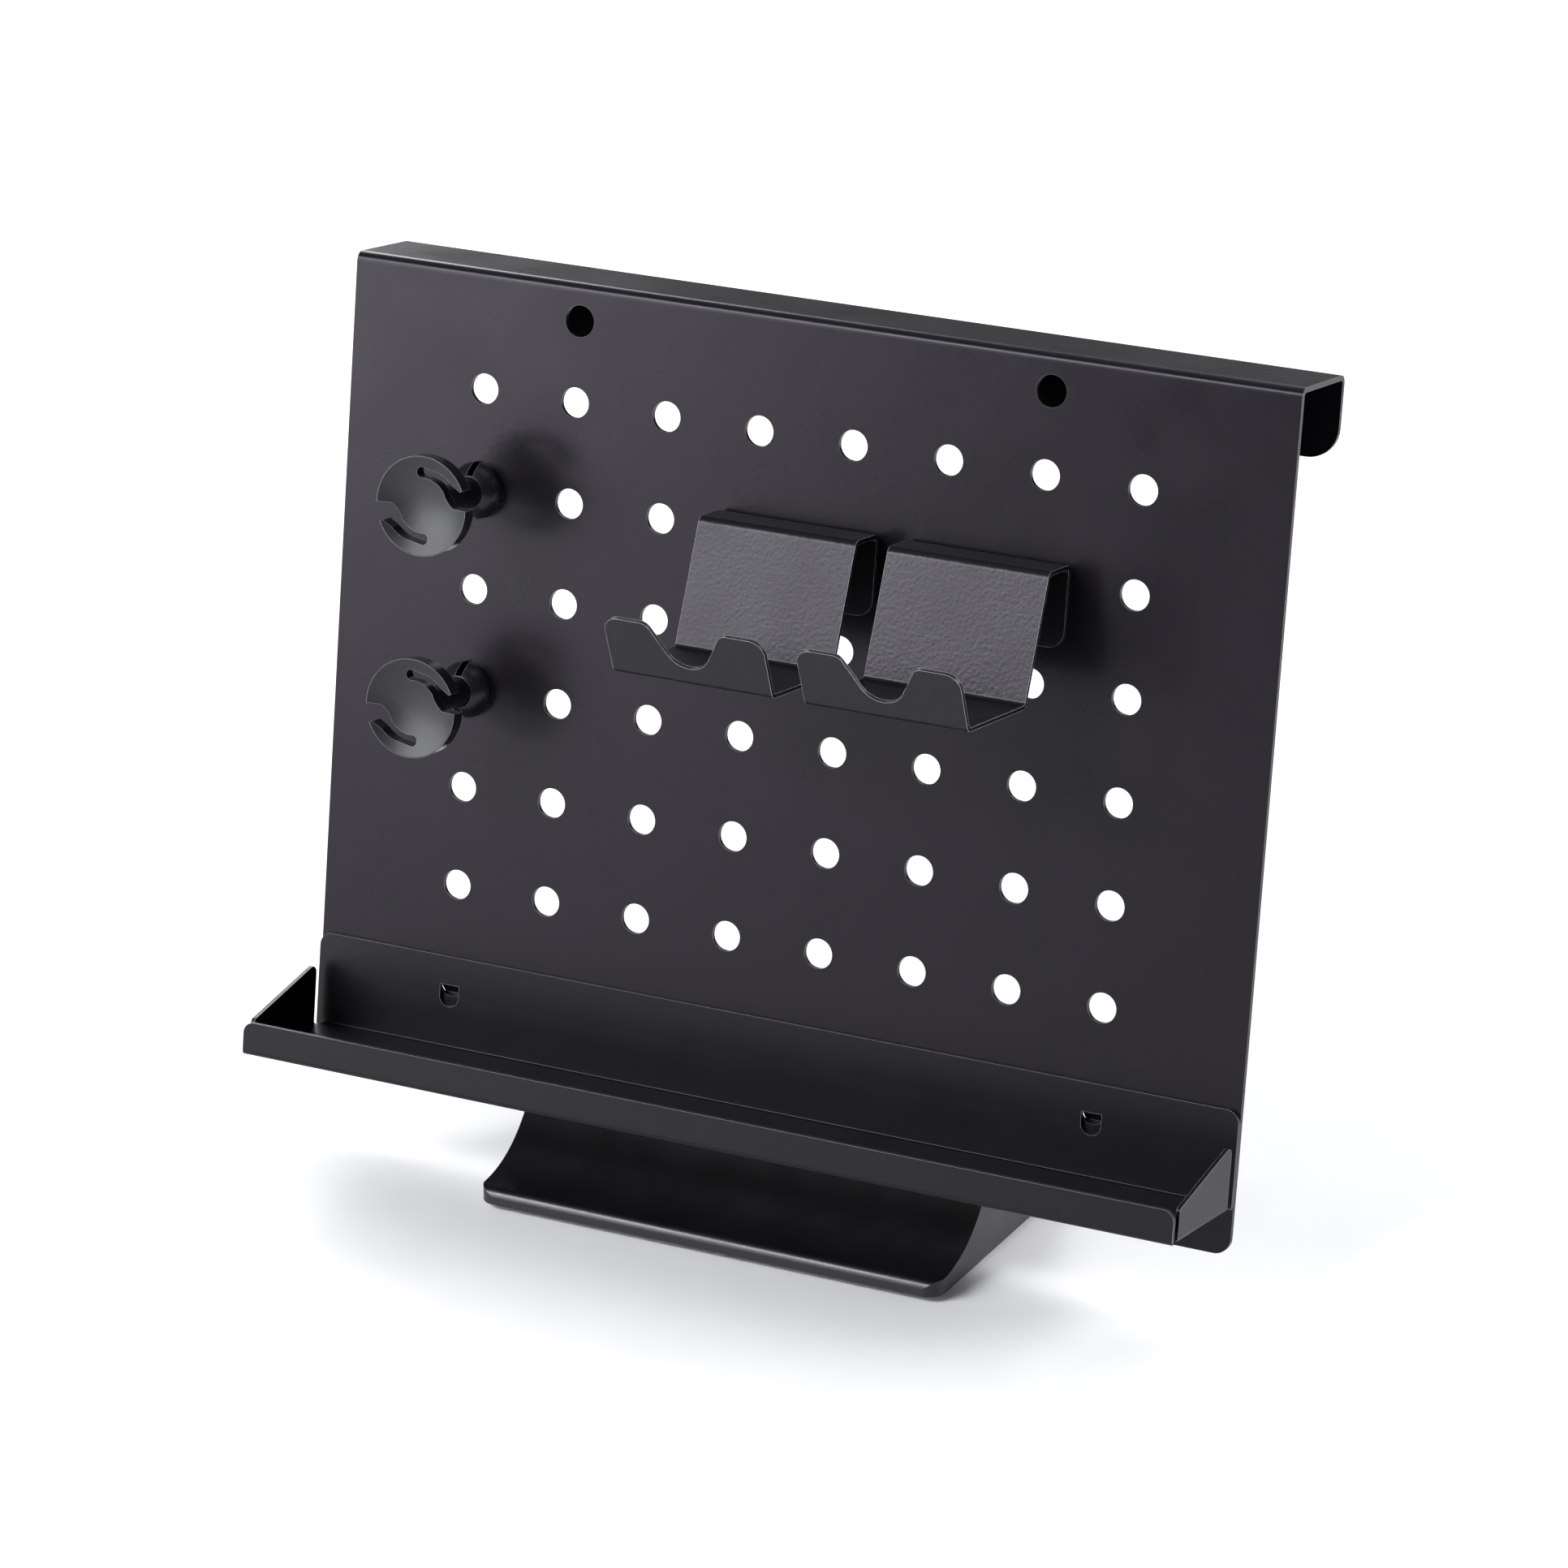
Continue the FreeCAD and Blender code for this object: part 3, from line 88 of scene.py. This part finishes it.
class Nodes:
    """A material's node tree, with short ways to add and join nodes."""

    def __init__(self, name):
        self.material = bpy.data.materials.new(name)
        self.material.use_nodes = True
        self.tree = self.material.node_tree
        self.tree.nodes.clear()
        self.output = self.tree.nodes.new("ShaderNodeOutputMaterial")
        self.shader = self.tree.nodes.new("ShaderNodeBsdfPrincipled")
        self.join(self.shader.outputs["BSDF"], self.output.inputs["Surface"])
        self.place = self.tree.nodes.new("ShaderNodeTexCoord").outputs["Object"]

    def join(self, source, target):
        self.tree.links.new(source, target)

    def noise(self, scale, detail=2.0, roughness=0.5, stretch=None):
        """Noise in 0 to 1 whose features are about 1/scale metres apart."""
        node = self.tree.nodes.new("ShaderNodeTexNoise")
        node.inputs["Scale"].default_value = scale
        node.inputs["Detail"].default_value = detail
        node.inputs["Roughness"].default_value = roughness
        place = self.place
        if stretch is not None:
            mapping = self.tree.nodes.new("ShaderNodeMapping")
            mapping.inputs["Scale"].default_value = stretch
            self.join(place, mapping.inputs["Vector"])
            place = mapping.outputs["Vector"]
        self.join(place, node.inputs["Vector"])
        return node.outputs["Fac"]

    def cells(self, scale):
        """Smooth cells about 1/scale metres across."""
        node = self.tree.nodes.new("ShaderNodeTexVoronoi")
        node.feature = "SMOOTH_F1"
        node.inputs["Scale"].default_value = scale
        node.inputs["Smoothness"].default_value = 1.0
        self.join(self.place, node.inputs["Vector"])
        return node.outputs["Distance"]

    def spread(self, value, low, high, new_low, new_high):
        """Map the range low to high onto new_low to new_high, held within it."""
        node = self.tree.nodes.new("ShaderNodeMapRange")
        node.inputs["From Min"].default_value = low
        node.inputs["From Max"].default_value = high
        node.inputs["To Min"].default_value = new_low
        node.inputs["To Max"].default_value = new_high
        self.join(value, node.inputs["Value"])
        return node.outputs["Result"]

    def combine(self, operation, first, second):
        """A math node on two values. Each is a number or the output of a node."""
        node = self.tree.nodes.new("ShaderNodeMath")
        node.operation = operation
        for socket, value in zip(node.inputs, (first, second)):
            if isinstance(value, (int, float)):
                socket.default_value = value
            else:
                self.join(value, socket)
        return node.outputs["Value"]

    def blend(self, amount, first, second):
        """Mix two colours. Each is a colour or the output of a node."""
        node = self.tree.nodes.new("ShaderNodeMix")
        node.data_type = "RGBA"
        self.join(amount, node.inputs["Factor"])
        for socket, colour in ((node.inputs["A"], first), (node.inputs["B"], second)):
            if isinstance(colour, tuple):
                socket.default_value = (*colour, 1.0)
            else:
                self.join(colour, socket)
        return node.outputs["Result"]

    def edges(self, radius):
        """1 at edges and corners within the radius, 0 on flat faces."""
        bevel = self.tree.nodes.new("ShaderNodeBevel")
        bevel.samples = 4
        bevel.inputs["Radius"].default_value = radius
        geometry = self.tree.nodes.new("ShaderNodeNewGeometry")
        dot = self.tree.nodes.new("ShaderNodeVectorMath")
        dot.operation = "DOT_PRODUCT"
        self.join(bevel.outputs["Normal"], dot.inputs[0])
        self.join(geometry.outputs["Normal"], dot.inputs[1])
        return self.spread(dot.outputs["Value"], 0.99, 0.8, 0.0, 1.0)

    def bump(self, height, depth, below=None):
        """Relief of the given depth in metres, on top of the relief below it."""
        node = self.tree.nodes.new("ShaderNodeBump")
        node.inputs["Strength"].default_value = 1.0
        node.inputs["Distance"].default_value = depth
        self.join(height, node.inputs["Height"])
        if below is not None:
            self.join(below, node.inputs["Normal"])
        return node.outputs["Normal"]

    def finish(self, colour, roughness, normal, **fixed):
        """Join the patterns to the shader and set its other sockets."""
        for name, value in (("Base Color", colour), ("Roughness", roughness), ("Normal", normal)):
            self.join(value, self.shader.inputs[name])
        for name, value in fixed.items():
            self.shader.inputs[name.replace("_", " ")].default_value = value
        return self.material


def powder_coat(name, dark, light, edge_highlight, rough, peel_depth, peel_size, specular):
    """Black powder coat: a fine grain over orange peel, with a pale highlight painted along the
    sheet's sharp edges.
    """
    nodes = Nodes(name)
    cloud = nodes.noise(COAT_CLOUDS, detail=4.0)
    fleck = nodes.noise(COAT_FLECKS, detail=1.0)
    tone = nodes.combine(
        "ADD", nodes.combine("MULTIPLY", cloud, 0.8), nodes.combine("MULTIPLY", fleck, 0.2)
    )
    body = nodes.blend(nodes.spread(tone, 0.1, 0.9, 0.0, 1.0), dark, light)
    # painted highlight: sharp edges get a pale colour in place of the coat's own
    colour = nodes.blend(nodes.edges(COAT_EDGE_HIGHLIGHT_WIDTH), body, edge_highlight)
    smear = nodes.noise(COAT_SMEARS, detail=3.0)
    roughness = nodes.spread(smear, 0.1, 0.9, rough - COAT_UNEVENNESS, rough + COAT_UNEVENNESS)
    peel = nodes.noise(1.0 / peel_size, detail=1.5, roughness=0.4)
    coarse = nodes.bump(peel, peel_depth)
    grain = nodes.noise(COAT_GRAINS, detail=1.0)
    normal = nodes.bump(grain, COAT_GRAIN_DEPTH, below=coarse)
    return nodes.finish(
        colour,
        roughness,
        normal,
        Specular_IOR_Level=specular,
        Specular_Tint=COAT_REFLECTION,
    )


def moulded_plastic(name, dark, light, edge_highlight, rough, grain_size, grain_depth, specular):
    """Black moulded plastic with a spark-eroded grain and a pale highlight painted along sharp
    edges.
    """
    nodes = Nodes(name)
    cloud = nodes.noise(PLASTIC_CLOUDS, detail=3.0)
    body = nodes.blend(nodes.spread(cloud, 0.1, 0.9, 0.0, 1.0), dark, light)
    # painted highlight: sharp edges get a pale colour in place of the plastic's own
    colour = nodes.blend(nodes.edges(PLASTIC_EDGE_HIGHLIGHT_WIDTH), body, edge_highlight)
    smear = nodes.noise(PLASTIC_SMEARS, detail=3.0)
    roughness = nodes.spread(
        smear, 0.1, 0.9, rough - PLASTIC_UNEVENNESS, rough + PLASTIC_UNEVENNESS
    )
    grain = nodes.cells(1.0 / grain_size)
    coarse = nodes.bump(grain, grain_depth)
    swell = nodes.noise(PLASTIC_SWELLS, detail=2.0)
    normal = nodes.bump(swell, PLASTIC_SWELL_DEPTH, below=coarse)
    return nodes.finish(colour, roughness, normal, Specular_IOR_Level=specular)


def zinc_plate(name):
    """Bright zinc on steel, with turned marks and a faint cloud."""
    nodes = Nodes(name)
    cloud = nodes.noise(ZINC_CLOUDS, detail=4.0)
    colour = nodes.blend(nodes.spread(cloud, 0.3, 0.7, 0.0, 1.0), ZINC_DARK, ZINC_LIGHT)
    smear = nodes.noise(ZINC_SMEARS, detail=3.0)
    roughness = nodes.spread(smear, 0.3, 0.7, 0.26, 0.42)
    marks = nodes.noise(ZINC_MARKS, detail=2.0, stretch=(1.0, 1.0, 6.0))
    normal = nodes.bump(marks, ZINC_MARK_DEPTH)
    return nodes.finish(colour, roughness, normal, Metallic=1.0)


def rubber(name):
    """Dull black rubber, slightly dusty."""
    nodes = Nodes(name)
    dust = nodes.noise(RUBBER_DUST, detail=5.0)
    colour = nodes.blend(nodes.spread(dust, 0.45, 0.75, 0.0, 1.0), RUBBER_CLEAN, RUBBER_DUSTY)
    smear = nodes.noise(RUBBER_SMEARS, detail=2.0)
    roughness = nodes.spread(smear, 0.3, 0.7, 0.75, 0.92)
    grain = nodes.noise(RUBBER_GRAINS, detail=2.0)
    normal = nodes.bump(grain, RUBBER_GRAIN_DEPTH)
    return nodes.finish(colour, roughness, normal, Specular_IOR_Level=0.3)


# the pale colours for sharp edges below are painted highlights
board_coat = powder_coat(
    "board_coat",
    dark=(0.0045, 0.0040, 0.0058),
    light=(0.0066, 0.0058, 0.0082),
    edge_highlight=(0.16, 0.158, 0.165),
    rough=0.29,
    peel_depth=0.00002,
    peel_size=0.0016,
    specular=0.20,
)
tray_coat = powder_coat(
    "tray_coat",
    dark=(0.0042, 0.0039, 0.0047),
    light=(0.0060, 0.0056, 0.0066),
    edge_highlight=(0.34, 0.336, 0.347),
    rough=0.36,
    peel_depth=0.000025,
    peel_size=0.0018,
    specular=0.21,
)
hanger_coat = powder_coat(
    "hanger_coat",
    dark=(0.0035, 0.0033, 0.0040),
    light=(0.0055, 0.0052, 0.0062),
    edge_highlight=(0.50, 0.495, 0.51),
    rough=0.37,
    peel_depth=0.00007,
    peel_size=0.0011,
    specular=0.285,
)
bracket_coat = powder_coat(
    "bracket_coat",
    dark=(0.010, 0.010, 0.011),
    light=(0.016, 0.016, 0.017),
    edge_highlight=(0.05, 0.05, 0.05),
    rough=0.5,
    peel_depth=0.00002,
    peel_size=0.0016,
    specular=0.3,
)
foot_plastic = moulded_plastic(
    "foot_plastic",
    dark=(0.0045, 0.0045, 0.0050),
    light=(0.0060, 0.0060, 0.0066),
    edge_highlight=(0.04, 0.04, 0.044),
    rough=0.36,
    grain_size=0.0007,
    grain_depth=0.00002,
    specular=0.6,
)
clip_plastic = moulded_plastic(
    "clip_plastic",
    dark=(0.0070, 0.0072, 0.0092),
    light=(0.0095, 0.0098, 0.0122),
    edge_highlight=(0.26, 0.265, 0.28),
    rough=0.28,
    grain_size=0.0012,
    grain_depth=0.000006,
    specular=0.32,
)
pad_rubber = rubber("pad_rubber")
zinc_steel = zinc_plate("zinc_steel")

# each finish, with the radius that the coat or the mould leaves on sharp edges
FINISHES = {
    "board_coat": (board_coat, 0.0004),
    "tray_coat": (tray_coat, 0.0004),
    "hanger_coat": (hanger_coat, 0.0004),
    "bracket_coat": (bracket_coat, 0.0003),
    "foot_plastic": (foot_plastic, 0.0004),
    "clip_plastic": (clip_plastic, 0.0003),
    "pad_rubber": (pad_rubber, 0.0004),
    "zinc_steel": (zinc_steel, 0.0001),
}

# edges sharper than this angle, in radians, are softened
SHARP_ANGLE = 0.6

slot_of = {part["node"]: part["material_slot"] for part in frame["record"]["subparts"]}
for name, node in frame["nodes"].items():
    slot = slot_of[name]
    material, edge_radius = FINISHES[slot]
    node.data.materials.clear()
    node.data.materials.append(material)
    bevel = node.modifiers.new("soft edges", "BEVEL")
    bevel.width = edge_radius
    bevel.segments = 2
    bevel.limit_method = "ANGLE"
    bevel.angle_limit = SHARP_ANGLE
    bevel.harden_normals = True

# ---------------------------------------------------------------- floor, light and camera


def floor_paper(name):
    """Pale matt paper, very slightly uneven."""
    nodes = Nodes(name)
    speck = nodes.noise(FLOOR_SPECKS, detail=3.0)
    tint = tuple(channel * FLOOR_SPECK_SHADE for channel in FLOOR_COLOUR)
    shade = nodes.blend(nodes.spread(speck, 0.3, 0.7, 0.0, 1.0), tint, FLOOR_COLOUR)
    roughness = nodes.spread(
        speck, 0.3, 0.7, FLOOR_ROUGHNESS - FLOOR_UNEVENNESS, FLOOR_ROUGHNESS + FLOOR_UNEVENNESS
    )
    normal = nodes.bump(speck, FLOOR_SPECK_DEPTH)
    return nodes.finish(shade, roughness, normal, Specular_IOR_Level=0.2)


FLOOR_SIGNS = ((-1, -1), (1, -1), (1, 1), (-1, 1))
floor_mesh = bpy.data.meshes.new("floor")
floor_mesh.from_pydata(
    [(x * FLOOR_HALF, y * FLOOR_HALF, 0) for x, y in FLOOR_SIGNS], [], [(0, 1, 2, 3)]
)
floor = bpy.data.objects.new("floor", floor_mesh)
floor.data.materials.append(floor_paper("floor_paper"))
bpy.context.scene.collection.objects.link(floor)


def softbox(name, position, width, height, watts, colour):
    """A rectangular light that faces the stand and that the camera doesn't see."""
    light = bpy.data.lights.new(name, "AREA")
    light.shape = "RECTANGLE"
    light.size = width
    light.size_y = height
    light.energy = watts
    light.color = colour
    lamp = bpy.data.objects.new(name, light)
    lamp.location = position
    lamp.visible_camera = False
    aim = Vector(CENTRE) - Vector(position)
    lamp.rotation_euler = aim.to_track_quat("-Z", "Y").to_euler()
    bpy.context.scene.collection.objects.link(lamp)


softbox("key", (-1.25, -1.49, 0.70), 1.0, 1.3, 36.0, COOL)
softbox("right", (1.81, 0.84, 1.07), 1.2, 1.2, 50.0, COOL)
softbox("back_left", (-1.47, 1.32, 1.10), 1.2, 1.2, 38.0, COOL)
softbox("back", (0.0, 1.80, 1.40), 1.4, 1.4, 10.0, WHITE)
softbox("top", (0.2, 0.7, 2.4), 2.4, 2.4, 13.0, WHITE)
softbox("rim", (-0.81, -1.53, 1.49), 1.0, 0.35, 32.0, COOL)

world = bpy.data.worlds.new("studio")
world.use_nodes = True
background = world.node_tree.nodes["Background"]
background.inputs["Color"].default_value = (*WHITE, 1.0)
background.inputs["Strength"].default_value = WORLD_STRENGTH
bpy.context.scene.world = world
bpy.context.scene.view_settings.view_transform = "Standard"

camera_data = bpy.data.cameras.new("camera")
camera_data.lens = CAMERA_LENS_MM
camera_data.sensor_width = CAMERA_SENSOR_MM
camera_data.clip_start = CAMERA_NEAR
camera_data.clip_end = CAMERA_FAR
camera = bpy.data.objects.new("camera", camera_data)
camera.location = CAMERA_POSITION
camera.rotation_euler = Vector(CAMERA_DIRECTION).to_track_quat("-Z", "Y").to_euler()
bpy.context.scene.collection.objects.link(camera)
bpy.context.scene.camera = camera
